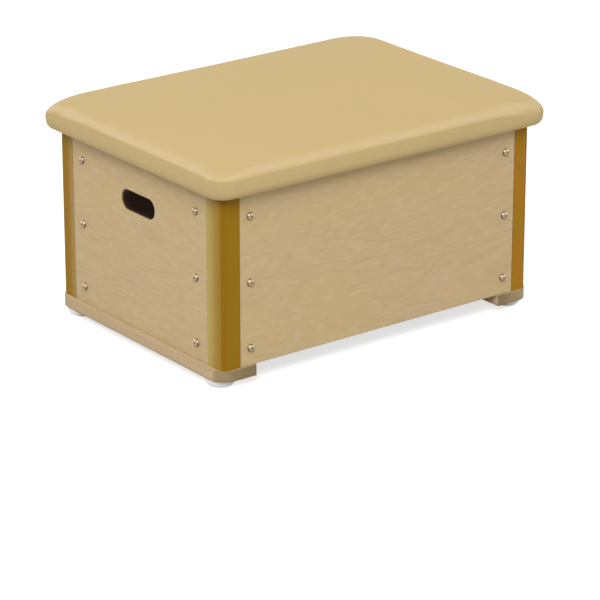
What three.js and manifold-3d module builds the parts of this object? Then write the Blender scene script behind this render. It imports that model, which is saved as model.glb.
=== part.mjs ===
// Vaulting box: a low plywood box on two runners and four feet, under a padded top.
// Millimetres, +Z up. The origin is on the floor under the middle of the box.
// +X runs along the long side. The front is at -Y, the left end at -X.
import * as THREE from 'three';
import { mergeVertices } from 'three/addons/utils/BufferGeometryUtils.js';
import Module from 'manifold-3d';

const wasm = await Module();
wasm.setup();

// Sizes of the body
const bodyLength = 800;
const bodyWidth = 578;
const panelHeight = 370;
const panelThickness = 18;
const panelBevel = 1.2;

// Clearance between glued or screwed pieces, and how far a cutter runs past a face
const joint = 0.3;
const overrun = 2;

// Corner posts: the rounded face seen outside and the wings behind the panels
const postFaceLong = 43;
const postFaceEnd = 52;
const postCornerRadius = 18;
const postEdgeBevel = 1.2;
const wingThickness = 28;
const wingMargin = 18;

// Runners under the end walls
const runnerWidth = 82;
const runnerThickness = 24;
const runnerProudEnd = 9;
const runnerProudSide = 3;
const runnerCornerRadius = 36;
const runnerInnerRadius = 2;
const runnerBevel = 1.5;

// Feet
const footRadius = 31;
const footBaseRadius = 20;
const footHeight = 18;
const footEndMargin = 1;
const footSideInset = 41;
const footRim = 3;
const footSeatDepth = 9;
const footWellClearance = 1.2;

// Hand holes through the end panels
const handHoleLength = 115;
const handHoleHeight = 42;
const handHoleRadius = 20;
const handHoleDrop = 95;

// Cleats inside the panels' top edges
const cleatWidth = 28;
const cleatHeight = 28;

// Padded top
const topOverhang = 31;
const boardThickness = 18;
const coverThickness = 2;
const foamSideHeight = 11.7;
const shoulderRise = 30;
const padShoulder = 39;
const padCrown = 5;
const padBottomInset = 12;
const padBottomRise = 19;
const padCornerRadius = 44;
const padCornerGrowthShare = 1.4;
const padShoulderFullness = 1.68;
const padSidePull = 1.5;
const hemClearance = 5;

// Screws: shank, head, the cross in the head, and how deep they go
const screwShankRadius = 2.5;
const screwHoleClearance = 0.3;
const screwTipLength = 5;
const screwEndCover = 4;
const screwHeadRadius = 8;
const screwHeadHeight = 5.6;
const screwHeadRim = 1;
const recessArm = 6.2;
const recessSlot = 1.6;
const recessDepth = 2.8;
const longScrewInset = 26;
const endScrewInset = 36;
const panelScrewBottomMargin = 37;
const panelScrewTopMargin = 54;
const panelScrewRows = ['low', 'middle', 'high'];
const smallHeadRadius = 5.5;
const smallHeadHeight = 3.2;
const smallHeadRim = 0.7;
const runnerScrewBite = 26;
const runnerScrewSpacing = 5;
const longCleatScrewShares = [-0.3, 0.3];
const shortCleatScrewShares = [0];

// How finely round shapes are cut
const cornerSteps = 6;
const postCornerSteps = 7;
const handHoleSteps = 5;
const screwSteps = 8;
const domeSteps = 2;
const footSteps = 24;
const footCurveSteps = 4;
const shoulderSteps = 5;
const hemSteps = 3;
const longSidePoints = 5;
const shortSidePoints = 3;
const crownShares = [0.3, 0.55, 0.8];

// Places that follow from the sizes
const runnerBottom = footHeight;
const panelBottom = runnerBottom + runnerThickness;
const bodyTop = panelBottom + panelHeight;
const padBottom = bodyTop - coverThickness - joint;
const padSideHeight = coverThickness + joint + boardThickness + foamSideHeight;
const padHeight = padSideHeight + shoulderRise;
const hemWidth = topOverhang - hemClearance;
const halfLength = bodyLength / 2;
const halfWidth = bodyWidth / 2;
const wingFace = panelThickness + joint;
const wingInside = wingFace + wingThickness;
const longScrewReach = postFaceLong + longScrewInset;
const endScrewReach = postFaceEnd + endScrewInset;
const longWingReach = longScrewReach + wingMargin;
const endWingReach = endScrewReach + wingMargin;
const screwHoleRadius = screwShankRadius + screwHoleClearance;
const panelScrewTip = wingInside - screwEndCover;
const footEndInset = footRadius + footEndMargin - runnerProudEnd;
const footScrewBite = runnerThickness - screwEndCover;
const boardScrewBite = boardThickness - screwEndCover;
const runnerScrewSide = wingFace + wingThickness / 2;
const runnerScrewAlong = footSideInset + footRadius + smallHeadRadius + runnerScrewSpacing;
const quarterTurn = Math.PI / 2;

// Colours and finishes
const finish = (color, roughness, metalness = 0) =>
  new THREE.MeshStandardMaterial({ color, roughness, metalness });
const coverFinish = finish(0xd4ba86, 0.55);
const foamFinish = finish(0xe6dcc0, 0.95);
const birchFinish = finish(0xc1a87d, 0.6);
const ochreFinish = finish(0x926d14, 0.5);
const runnerFinish = finish(0xb59b7d, 0.65);
const footFinish = finish(0xdcdcdc, 0.5);
const steelFinish = finish(0xb9b9b6, 0.3, 1);

const box = new THREE.Group();

function addMesh(name, geometry, material, place = [0, 0, 0], turn = [0, 0, 0]) {
  const mesh = new THREE.Mesh(geometry, material);
  mesh.name = name;
  mesh.position.set(...place);
  mesh.rotation.set(...turn);
  box.add(mesh);
}

// A closed mesh with shared corners, no empty triangles and its faces pointing out
function closed(source) {
  const bare = source.clone();
  bare.deleteAttribute('normal');
  bare.deleteAttribute('uv');
  const merged = mergeVertices(bare);
  const places = merged.getAttribute('position');
  const corner = [new THREE.Vector3(), new THREE.Vector3(), new THREE.Vector3()];
  const kept = [];
  let volume = 0;
  for (let i = 0; i < merged.index.count; i += 3) {
    const triangle = [0, 1, 2].map((k) => merged.index.getX(i + k));
    if (new Set(triangle).size < 3) continue;
    triangle.forEach((vertex, k) => corner[k].fromBufferAttribute(places, vertex));
    volume += corner[0].dot(corner[1].clone().cross(corner[2]));
    kept.push(triangle);
  }
  const ordered = volume < 0 ? kept.map(([a, b, c]) => [a, c, b]) : kept;
  merged.setIndex(ordered.flat());
  return merged;
}

function solidOf(geometry) {
  const mesh = closed(geometry);
  const vertProperties = new Float32Array(mesh.getAttribute('position').array);
  const triVerts = new Uint32Array(mesh.index.array);
  return new wasm.Manifold(new wasm.Mesh({ numProp: 3, vertProperties, triVerts }));
}

function cut(geometry, cutters) {
  let solid = solidOf(geometry);
  for (const cutter of cutters) solid = solid.subtract(solidOf(cutter));
  const mesh = solid.getMesh();
  const result = new THREE.BufferGeometry();
  result.setAttribute('position', new THREE.BufferAttribute(mesh.vertProperties, 3));
  result.setIndex(new THREE.BufferAttribute(mesh.triVerts, 1));
  return result;
}

// A round cutter from one point to another along X, Y or Z
function drill(radius, from, to) {
  const start = new THREE.Vector3(...from);
  const end = new THREE.Vector3(...to);
  const along = end.clone().sub(start);
  const cylinder = new THREE.CylinderGeometry(radius, radius, along.length(), screwSteps);
  const up = new THREE.Vector3(0, 1, 0);
  cylinder.applyQuaternion(new THREE.Quaternion().setFromUnitVectors(up, along.normalize()));
  const middle = start.add(end).multiplyScalar(0.5);
  return cylinder.translate(middle.x, middle.y, middle.z);
}

function circlePath(x, y, radius) {
  const path = new THREE.Path();
  const points = [];
  for (let i = 0; i < screwSteps; i += 1) {
    const angle = (2 * Math.PI * i) / screwSteps;
    points.push(new THREE.Vector2(x + radius * Math.cos(angle), y + radius * Math.sin(angle)));
  }
  return path.setFromPoints(points);
}

// Outline of a rectangle with its own radius at each corner, counter-clockwise from the low left
function roundedOutline(target, lowX, lowY, highX, highY, radii, steps) {
  const corners = [[lowX, lowY, 1, 1], [highX, lowY, -1, 1], [highX, highY, -1, -1], [lowX, highY, 1, -1]];
  const points = [];
  corners.forEach(([x, y, inX, inY], k) => {
    for (let i = 0; i <= steps; i += 1) {
      const angle = Math.PI + quarterTurn * (k + i / steps);
      const reachX = inX + Math.cos(angle);
      const reachY = inY + Math.sin(angle);
      points.push(new THREE.Vector2(x + radii[k] * reachX, y + radii[k] * reachY));
    }
  });
  return target.setFromPoints(points);
}

// A flat board from z = 0 up to its thickness, with all its edges bevelled
function bevelledBoard(shape, thickness, bevel) {
  const geometry = new THREE.ExtrudeGeometry(shape, {
    depth: thickness - 2 * bevel,
    bevelEnabled: true,
    bevelThickness: bevel,
    bevelSize: bevel,
    bevelOffset: -bevel,
    bevelSegments: 1,
    curveSegments: 1,
  });
  return closed(geometry.translate(0, 0, bevel));
}

// Rings of points, one under another, joined into one closed skin from a first point to a last
function skin(first, rings, last) {
  const points = [first, ...rings.flat(), last];
  const count = rings[0].length;
  const at = (ring, i) => 1 + ring * count + (i % count);
  const triangles = [];
  for (let i = 0; i < count; i += 1) {
    triangles.push(0, at(0, i), at(0, i + 1));
    for (let ring = 0; ring + 1 < rings.length; ring += 1) {
      triangles.push(at(ring, i), at(ring + 1, i), at(ring + 1, i + 1));
      triangles.push(at(ring, i), at(ring + 1, i + 1), at(ring, i + 1));
    }
    triangles.push(points.length - 1, at(rings.length - 1, i + 1), at(rings.length - 1, i));
  }
  const geometry = new THREE.BufferGeometry().setFromPoints(points);
  geometry.setIndex(triangles);
  return geometry;
}

// Screws: the head points along +Y, and its underside is at y = 0
function screwGeometry(length, headRadius, headHeight, headRim) {
  const profile = [[0, -length], [screwShankRadius, screwTipLength - length], [screwShankRadius, 0]];
  profile.push([headRadius, 0]);
  for (let i = 0; i <= domeSteps; i += 1) {
    const angle = (quarterTurn * i) / domeSteps;
    profile.push([headRadius * Math.cos(angle), headRim + (headHeight - headRim) * Math.sin(angle)]);
  }
  profile[profile.length - 1][0] = 0;
  const lathe = new THREE.LatheGeometry(profile.map((p) => new THREE.Vector2(...p)), screwSteps);
  const slotHeight = recessDepth + overrun;
  const slotMiddle = headHeight + overrun - slotHeight / 2;
  const slots = [[recessArm, recessSlot], [recessSlot, recessArm]];
  const slotBox = ([x, z]) => new THREE.BoxGeometry(x, slotHeight, z).translate(0, slotMiddle, 0);
  return cut(lathe, slots.map(slotBox));
}

const panelScrewLength = panelScrewTip + joint;
const panelScrew = screwGeometry(panelScrewLength, screwHeadRadius, screwHeadHeight, screwHeadRim);
const smallScrew = (length) => screwGeometry(length, smallHeadRadius, smallHeadHeight, smallHeadRim);
const headDown = [-quarterTurn, 0, 0];

function screwHeights() {
  const span = panelHeight - panelScrewBottomMargin - panelScrewTopMargin;
  const gaps = panelScrewRows.length - 1;
  return panelScrewRows.map((name, row) => panelScrewBottomMargin + (span * row) / gaps);
}

// Panels: lying flat here, X along the wall, Y up the wall, the outer face at the top or bottom
function panelGeometry(wallLength, postFace, screwReach, withHandHole) {
  const halfPanel = wallLength / 2 - postFace - joint;
  const shape = new THREE.Shape();
  roundedOutline(shape, -halfPanel, 0, halfPanel, panelHeight, [0, 0, 0, 0], 1);
  for (const side of [-1, 1]) {
    for (const height of screwHeights()) {
      const x = side * (wallLength / 2 - screwReach);
      shape.holes.push(circlePath(x, height, screwHoleRadius));
    }
  }
  if (withHandHole) {
    const middle = panelHeight - handHoleDrop;
    const halfHole = handHoleLength / 2;
    const low = middle - handHoleHeight / 2;
    const high = middle + handHoleHeight / 2;
    const radii = Array(4).fill(handHoleRadius);
    const hole = roundedOutline(new THREE.Path(), -halfHole, low, halfHole, high, radii, handHoleSteps);
    shape.holes.push(hole);
  }
  return bevelledBoard(shape, panelThickness, panelBevel);
}

function addPanels() {
  const longPanel = panelGeometry(bodyLength, postFaceLong, longScrewReach, false);
  const endPanel = panelGeometry(bodyWidth, postFaceEnd, endScrewReach, true);
  const faceY = [quarterTurn, 0, 0];
  const faceX = [quarterTurn, quarterTurn, 0];
  addMesh('front_panel', longPanel, birchFinish, [0, panelThickness - halfWidth, panelBottom], faceY);
  addMesh('back_panel', longPanel, birchFinish, [0, halfWidth, panelBottom], faceY);
  addMesh('left_end_panel', endPanel, birchFinish, [-halfLength, 0, panelBottom], faceX);
  addMesh('right_end_panel', endPanel, birchFinish, [halfLength - panelThickness, 0, panelBottom], faceX);
}

// Corner posts: a rounded block with a wing behind each of the two panels that meet there
function postGeometry(inX, inY) {
  const corner = [];
  for (let i = 0; i <= postCornerSteps; i += 1) {
    const angle = (quarterTurn * i) / postCornerSteps;
    const x = postCornerRadius * (1 - Math.sin(angle));
    const y = postCornerRadius * (1 - Math.cos(angle));
    corner.push([x, y]);
  }
  const outline = [
    ...corner,
    [0, postFaceEnd - postEdgeBevel], [postEdgeBevel, postFaceEnd], [wingFace, postFaceEnd],
    [wingFace, endWingReach], [wingInside, endWingReach], [wingInside, wingInside],
    [longWingReach, wingInside], [longWingReach, wingFace], [postFaceLong, wingFace],
    [postFaceLong, postEdgeBevel], [postFaceLong - postEdgeBevel, 0],
  ];
  const shape = new THREE.Shape(outline.map(([x, y]) => new THREE.Vector2(inX * x, inY * y)));
  const post = new THREE.ExtrudeGeometry(shape, { depth: panelHeight, bevelEnabled: false });
  const tip = panelScrewTip + joint;
  const mouth = wingFace - overrun;
  const alongX = inX * longScrewReach;
  const alongY = inY * endScrewReach;
  const cutters = [];
  for (const z of screwHeights()) {
    cutters.push(drill(screwHoleRadius, [alongX, inY * mouth, z], [alongX, inY * tip, z]));
    cutters.push(drill(screwHoleRadius, [inX * mouth, alongY, z], [inX * tip, alongY, z]));
  }
  const upX = inX * runnerScrewSide;
  const upY = inY * runnerScrewAlong;
  cutters.push(drill(screwHoleRadius, [upX, upY, -overrun], [upX, upY, runnerScrewBite + joint]));
  return cut(post, cutters);
}

// The four corners of the box, with the way inwards from each
const corners = [
  { name: 'front_left', x: -1, y: -1 },
  { name: 'front_right', x: 1, y: -1 },
  { name: 'back_left', x: -1, y: 1 },
  { name: 'back_right', x: 1, y: 1 },
];

function addPosts() {
  for (const { name, x, y } of corners) {
    const place = [x * halfLength, y * halfWidth, panelBottom];
    addMesh(`${name}_post`, postGeometry(-x, -y), ochreFinish, place);
  }
}

// Runners: a board across the box under each end wall, bored for the feet and the posts
function runnerGeometry(side) {
  const outer = runnerProudEnd;
  const inner = -runnerWidth;
  const halfRun = halfWidth + runnerProudSide;
  const low = side < 0 ? -outer : inner;
  const high = side < 0 ? -inner : outer;
  const lowRadius = side < 0 ? runnerCornerRadius : runnerInnerRadius;
  const highRadius = side < 0 ? runnerInnerRadius : runnerCornerRadius;
  const radii = [lowRadius, highRadius, highRadius, lowRadius];
  const shape = roundedOutline(new THREE.Shape(), low, -halfRun, high, halfRun, radii, cornerSteps);
  const board = bevelledBoard(shape, runnerThickness, runnerBevel);
  const wellRadius = smallHeadRadius + screwHoleClearance;
  const wellDepth = smallHeadHeight + joint;
  const cutters = [];
  for (const end of [-1, 1]) {
    const footX = -side * footEndInset;
    const footY = end * (halfWidth - footSideInset);
    const screwX = -side * runnerScrewSide;
    const screwY = end * (halfWidth - runnerScrewAlong);
    const below = [screwX, screwY, -overrun];
    cutters.push(drill(screwHoleRadius, [footX, footY, -overrun], [footX, footY, footScrewBite + joint]));
    cutters.push(drill(screwHoleRadius, below, [screwX, screwY, runnerThickness + overrun]));
    cutters.push(drill(wellRadius, below, [screwX, screwY, wellDepth]));
  }
  return cut(board, cutters);
}

function addRunners() {
  for (const [name, side] of [['left', -1], ['right', 1]]) {
    addMesh(`${name}_runner`, runnerGeometry(side), runnerFinish, [side * halfLength, 0, runnerBottom]);
  }
}

// Feet: shallow domes with a well for the screw's head
function footGeometry() {
  const wellRadius = smallHeadRadius + footWellClearance;
  const domeHeight = footHeight - footRim;
  const profile = [[screwHoleRadius, footHeight], [screwHoleRadius, footSeatDepth]];
  profile.push([wellRadius, footSeatDepth], [wellRadius, 0]);
  for (let i = 0; i <= footCurveSteps; i += 1) {
    const angle = (quarterTurn * i) / footCurveSteps;
    const radius = footBaseRadius + (footRadius - footBaseRadius) * Math.sin(angle);
    profile.push([radius, domeHeight * (1 - Math.cos(angle))]);
  }
  profile.push([footRadius, footHeight]);
  profile.push(profile[0]);
  return closed(new THREE.LatheGeometry(profile.map((p) => new THREE.Vector2(...p)), footSteps));
}

function addFeet() {
  const foot = footGeometry();
  const seat = footSeatDepth - joint;
  const footScrew = smallScrew(footHeight - seat + footScrewBite);
  const runnerScrew = smallScrew(runnerThickness - smallHeadHeight + runnerScrewBite);
  for (const { name, x, y } of corners) {
    const footPlace = [x * (halfLength - footEndInset), y * (halfWidth - footSideInset)];
    const screwPlace = [x * (halfLength - runnerScrewSide), y * (halfWidth - runnerScrewAlong)];
    addMesh(`${name}_foot`, foot, footFinish, [...footPlace, 0], [quarterTurn, 0, 0]);
    addMesh(`${name}_foot_screw`, footScrew, steelFinish, [...footPlace, seat], headDown);
    const runnerSeat = runnerBottom + smallHeadHeight;
    addMesh(`${name}_runner_screw`, runnerScrew, steelFinish, [...screwPlace, runnerSeat], headDown);
  }
}

function addPanelScrews() {
  const walls = [
    { name: 'front', ends: ['left', 'right'], turn: [Math.PI, 0, 0], out: [0, -1] },
    { name: 'back', ends: ['left', 'right'], turn: [0, 0, 0], out: [0, 1] },
    { name: 'left_end', ends: ['front', 'back'], turn: [0, 0, quarterTurn], out: [-1, 0] },
    { name: 'right_end', ends: ['front', 'back'], turn: [0, 0, -quarterTurn], out: [1, 0] },
  ];
  for (const { name, ends, turn, out } of walls) {
    const [outX, outY] = out;
    ends.forEach((end, k) => {
      const along = k === 0 ? -1 : 1;
      const x = outX === 0 ? along * (halfLength - longScrewReach) : outX * (halfLength + joint);
      const y = outY === 0 ? along * (halfWidth - endScrewReach) : outY * (halfWidth + joint);
      screwHeights().forEach((height, row) => {
        const screwName = `${name}_screw_${end}_${panelScrewRows[row]}`;
        addMesh(screwName, panelScrew, steelFinish, [x, y, panelBottom + height], turn);
      });
    });
  }
}

// Cleats: battens glued inside the top of each wall, with screws up into the board
function cleatGeometry(length, alongX, screwShares) {
  const half = alongX ? [length / 2, cleatWidth / 2] : [cleatWidth / 2, length / 2];
  const shape = new THREE.Shape();
  roundedOutline(shape, -half[0], -half[1], half[0], half[1], [0, 0, 0, 0], 1);
  for (const share of screwShares) {
    const place = alongX ? [share * length, 0] : [0, share * length];
    shape.holes.push(circlePath(...place, screwHoleRadius));
  }
  return new THREE.ExtrudeGeometry(shape, { depth: cleatHeight, bevelEnabled: false });
}

const cleatInset = wingFace + cleatWidth / 2;
const cleats = [
  { name: 'front', x: 0, y: cleatInset - halfWidth, alongX: true },
  { name: 'back', x: 0, y: halfWidth - cleatInset, alongX: true },
  { name: 'left_end', x: cleatInset - halfLength, y: 0, alongX: false },
  { name: 'right_end', x: halfLength - cleatInset, y: 0, alongX: false },
].map((cleat) => ({
  ...cleat,
  length: cleat.alongX ? bodyLength - 2 * (longWingReach + joint) : bodyWidth - 2 * (endWingReach + joint),
  shares: cleat.alongX ? longCleatScrewShares : shortCleatScrewShares,
}));

function addCleats() {
  const bottom = bodyTop - cleatHeight;
  const boardScrew = smallScrew(cleatHeight + boardScrewBite);
  for (const { name, x, y, length, alongX, shares } of cleats) {
    addMesh(`${name}_cleat`, cleatGeometry(length, alongX, shares), runnerFinish, [x, y, bottom]);
    shares.forEach((share, k) => {
      const place = alongX ? [x + share * length, y] : [x, y + share * length];
      place.push(bottom - joint);
      addMesh(`${name}_board_screw_${k + 1}`, boardScrew, steelFinish, place, headDown);
    });
  }
}

// Padded top. A level is one turn round the pad: how far in from the outermost outline, how high,
// the radius of its corners, and how much of the sides' pull it takes.
function levelRing({ inset, height, radius, pull }, scale = 1) {
  const reachX = halfLength + topOverhang - inset - radius;
  const reachY = halfWidth + topOverhang - inset - radius;
  const points = [];
  const quadrants = [[1, 1], [-1, 1], [-1, -1], [1, -1]];
  quadrants.forEach(([signX, signY], k) => {
    const centre = [signX * reachX, signY * reachY];
    for (let i = 0; i <= cornerSteps; i += 1) {
      const angle = quarterTurn * (k + i / cornerSteps);
      points.push([centre[0] + radius * Math.cos(angle), centre[1] + radius * Math.sin(angle)]);
    }
    const alongX = k % 2 === 0;
    const count = alongX ? longSidePoints : shortSidePoints;
    for (let i = 1; i <= count; i += 1) {
      const along = 1 - (2 * i) / (count + 1);
      const out = radius - pull * padSidePull * (1 - along * along);
      const x = alongX ? signX * along * reachX : signX * (reachX + out);
      const y = alongX ? signY * (reachY + out) : signY * along * reachY;
      points.push([x, y]);
    }
  });
  return points.map(([x, y]) => new THREE.Vector3(scale * x, scale * y, height));
}

// How much of the pull a height takes: none on the board, all of it at the top
function pullAt(height) {
  const start = padSideHeight - foamSideHeight;
  const share = THREE.MathUtils.clamp((height - start) / (padHeight - start), 0, 1);
  return Math.sin(quarterTurn * share);
}

// The shoulder, from the top edge down to the side, a given depth inside the pad's outer face
function shoulderLevels(depth) {
  const levels = [];
  for (let i = 0; i <= shoulderSteps; i += 1) {
    const angle = quarterTurn * (1 - i / shoulderSteps);
    const across = Math.max(Math.cos(angle), 0) ** (2 / padShoulderFullness);
    const up = Math.sin(angle) ** (2 / padShoulderFullness);
    const outerInset = padShoulder * (1 - across);
    const height = padSideHeight + (padHeight - depth - padSideHeight) * up;
    levels.push({
      inset: depth + (padShoulder - depth) * (1 - across),
      height,
      radius: padCornerRadius + padCornerGrowthShare * outerInset - depth,
      pull: pullAt(padSideHeight + (padHeight - padSideHeight) * up),
    });
  }
  return levels;
}

// The round lower edge, from the side in under the board
function lowerEdgeLevels(depth) {
  const levels = [];
  for (let i = 0; i <= hemSteps; i += 1) {
    const angle = (quarterTurn * i) / hemSteps;
    const inset = depth + (padBottomInset - depth) * (1 - Math.cos(angle));
    const height = depth + (padBottomRise - depth) * (1 - Math.sin(angle));
    levels.push({ inset, height, radius: padCornerRadius - inset, pull: 0 });
  }
  return levels;
}

function crownRings(depth) {
  const shoulderTop = shoulderLevels(depth)[0];
  const ring = (share) => {
    const height = padHeight - depth + padCrown * (1 - (1 - share) ** 2) ** 2;
    return levelRing({ ...shoulderTop, height }, 1 - share);
  };
  return [...crownShares].reverse().map(ring);
}

const crownPoint = (depth) => new THREE.Vector3(0, 0, padHeight - depth + padCrown);

function coverGeometry() {
  const hem = { inset: hemWidth, radius: padCornerRadius - hemWidth, pull: 0 };
  const face = (depth) => [
    ...crownRings(depth),
    ...[...shoulderLevels(depth), ...lowerEdgeLevels(depth)].map((level) => levelRing(level)),
    levelRing({ ...hem, height: depth }),
  ];
  const rings = [...face(0), ...face(coverThickness).reverse()];
  return skin(crownPoint(0), rings, crownPoint(coverThickness));
}

function foamGeometry() {
  const depth = coverThickness + joint;
  const base = depth + boardThickness + joint;
  const bottom = { inset: depth, height: base, radius: padCornerRadius - depth, pull: 0 };
  const sides = [...shoulderLevels(depth), bottom].map((level) => levelRing(level));
  return skin(crownPoint(depth), [...crownRings(depth), ...sides], new THREE.Vector3(0, 0, base));
}

function boardGeometry() {
  const depth = coverThickness + joint;
  const radius = padCornerRadius - depth;
  const topLevel = { inset: depth, height: depth + boardThickness, radius, pull: 0 };
  const rings = [topLevel, ...lowerEdgeLevels(depth)].map((level) => levelRing(level));
  const middle = (height) => new THREE.Vector3(0, 0, height);
  const board = skin(middle(topLevel.height), rings, middle(depth));
  const tip = depth + boardScrewBite + joint;
  const cutters = [];
  for (const { x, y, length, alongX, shares } of cleats) {
    for (const share of shares) {
      const place = alongX ? [x + share * length, y] : [x, y + share * length];
      cutters.push(drill(screwHoleRadius, [...place, depth - overrun], [...place, tip]));
    }
  }
  return cut(board, cutters);
}

function addPad() {
  addMesh('cover', coverGeometry(), coverFinish, [0, 0, padBottom]);
  addMesh('foam_pad', foamGeometry(), foamFinish, [0, 0, padBottom]);
  addMesh('top_board', boardGeometry(), birchFinish, [0, 0, padBottom]);
}

addPad();
addPanels();
addPosts();
addRunners();
addFeet();
addCleats();
addPanelScrews();

export default box;
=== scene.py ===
import math
import random
from collections import namedtuple

import bmesh
import bpy
from mathutils import Matrix, Vector


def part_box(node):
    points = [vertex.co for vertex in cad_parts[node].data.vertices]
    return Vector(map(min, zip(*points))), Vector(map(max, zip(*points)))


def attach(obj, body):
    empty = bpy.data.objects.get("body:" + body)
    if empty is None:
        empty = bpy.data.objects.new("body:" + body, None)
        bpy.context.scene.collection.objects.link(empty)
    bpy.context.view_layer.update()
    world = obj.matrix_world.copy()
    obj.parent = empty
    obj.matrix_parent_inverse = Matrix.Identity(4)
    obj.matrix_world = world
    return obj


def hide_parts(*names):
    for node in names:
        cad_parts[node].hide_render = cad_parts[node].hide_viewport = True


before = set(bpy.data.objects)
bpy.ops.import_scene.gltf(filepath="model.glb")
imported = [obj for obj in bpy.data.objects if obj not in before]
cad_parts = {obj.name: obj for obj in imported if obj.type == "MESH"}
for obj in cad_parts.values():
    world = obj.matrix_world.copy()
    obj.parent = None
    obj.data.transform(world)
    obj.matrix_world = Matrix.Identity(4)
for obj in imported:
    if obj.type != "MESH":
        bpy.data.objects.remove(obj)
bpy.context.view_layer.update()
BODY = "root"
SEED = 7
random.seed(SEED)

QUARTER = math.pi / 2
UP = Vector((0, 0, 1))
AXES = "XYZ"
QUADRANTS = ((1, 1), (-1, 1), (-1, -1), (1, -1))

# Sizes repeated from the part, in metres

half_body_length = 0.400
half_body_width = 0.289
joint = 0.0003
panel_thickness = 0.018
post_face_long = 0.043
post_face_end = 0.052
post_corner_radius = 0.018
wing_thickness = 0.028
wing_margin = 0.018
long_screw_reach = 0.069
end_screw_reach = 0.088
runner_width = 0.082
runner_bottom = 0.018
runner_corner_radius = 0.036
runner_inner_radius = 0.002
hand_hole_length = 0.115
hand_hole_height = 0.042
hand_hole_radius = 0.020
hand_hole_drop = 0.095
foot_base_radius = 0.020
foot_rim = 0.003
foot_seat_depth = 0.009
foot_well_radius = 0.0067
pad_shoulder = 0.039
pad_bottom_inset = 0.012
pad_bottom_rise = 0.019
pad_corner_radius = 0.044
pad_corner_growth_share = 1.4
pad_side_pull = 0.0015
pad_crown = 0.005
hem_width = 0.026
cover_thickness = 0.002
board_top = 0.0203
shank_radius = 0.0025
screw_tip = 0.005

# A screw head: its radius, height and rim, and its cross recess, arm to arm, across a slot and deep
Head = namedtuple("Head", "radius height rim arm slot depth")
panel_head = Head(0.008, 0.0056, 0.001, 0.0062, 0.0016, 0.0028)
small_head = Head(0.0055, 0.0032, 0.0007, 0.0043, 0.0012, 0.0019)

# Sizes that only the dressed part has, in metres

veneer_thickness = 0.0014
board_rounding = 0.0012
hole_rounding = 0.003
hole_margin = 0.002
hole_lip = 0.001
hole_fade = 0.005
runner_rounding = 0.0015
foot_rounding = 0.0008
foot_well_rounding = 0.0006
head_rounding = 0.0003
scuff_height = 0.0006
low_edge_height = 0.005

# How finely round forms are divided

OUTLINE_STEPS = 14
POST_STEPS = 20
DOME_STEPS = 14
FOOT_TURNS = 72
SCREW_TURNS = 36
HEAD_STEPS = 8
WELL_TURNS = 40
BOARD_SEGMENTS = 2
HOLE_SEGMENTS = 4
RUNNER_SEGMENTS = 3

# Angles between faces past which an edge is rounded, or shaded as sharp

ROUNDED_ANGLE = 0.6
SHARP_ANGLE = math.radians(32)
FOOT_SHARP_ANGLE = math.radians(50)
CLOTH_SHARP_ANGLE = math.radians(60)


def place_of(node):
    """The middle of a node's box, and its lowest and highest corners."""
    low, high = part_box(node)
    return (low + high) / 2, low, high


# Shader building


def linear(red, green, blue):
    """A colour from 0 to 255 as the eye sees it, as Blender's linear colour."""
    shares = (red / 255, green / 255, blue / 255)
    return tuple(c / 12.92 if c <= 0.04045 else ((c + 0.055) / 1.055) ** 2.4 for c in shares) + (1.0,)


class Nodes:
    """A node tree in the making. Each call adds nodes and returns the last one's main output."""

    def __init__(self, owner):
        owner.use_nodes = True
        self.tree = owner.node_tree
        self.tree.nodes.clear()

    def add(self, kind, inputs=None, **settings):
        """Adds a node and returns the node itself. An input is a value, or an output to link to it."""
        node = self.tree.nodes.new(kind)
        for key, value in settings.items():
            setattr(node, key, value)
        for key, value in (inputs or {}).items():
            self.put(node.inputs[key], value)
        return node

    def put(self, socket, value):
        if isinstance(value, bpy.types.NodeSocket):
            self.tree.links.new(value, socket)
        else:
            socket.default_value = value

    def math(self, operation, first, second=0.0, third=0.0):
        return self.add("ShaderNodeMath", {0: first, 1: second, 2: third}, operation=operation).outputs[0]

    def product(self, first, second):
        return self.math("MULTIPLY", first, second)

    def absolute(self, value):
        return self.math("ABSOLUTE", value)

    def span(self, value, low, high, to_low=0.0, to_high=1.0):
        """Goes smoothly from to_low to to_high as value goes from low to high, and stays there beyond."""
        inputs = {"Value": value, "From Min": low, "From Max": high, "To Min": to_low, "To Max": to_high}
        return self.add("ShaderNodeMapRange", inputs, interpolation_type="SMOOTHSTEP").outputs["Result"]

    def seen(self):
        """1 for a ray from the camera or one that is mirrored or passes through, 0 for any other."""
        path = self.add("ShaderNodeLightPath").outputs
        reflected = self.math("MAXIMUM", path["Is Glossy Ray"], path["Is Transmission Ray"])
        return self.math("MAXIMUM", path["Is Camera Ray"], reflected)


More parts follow.
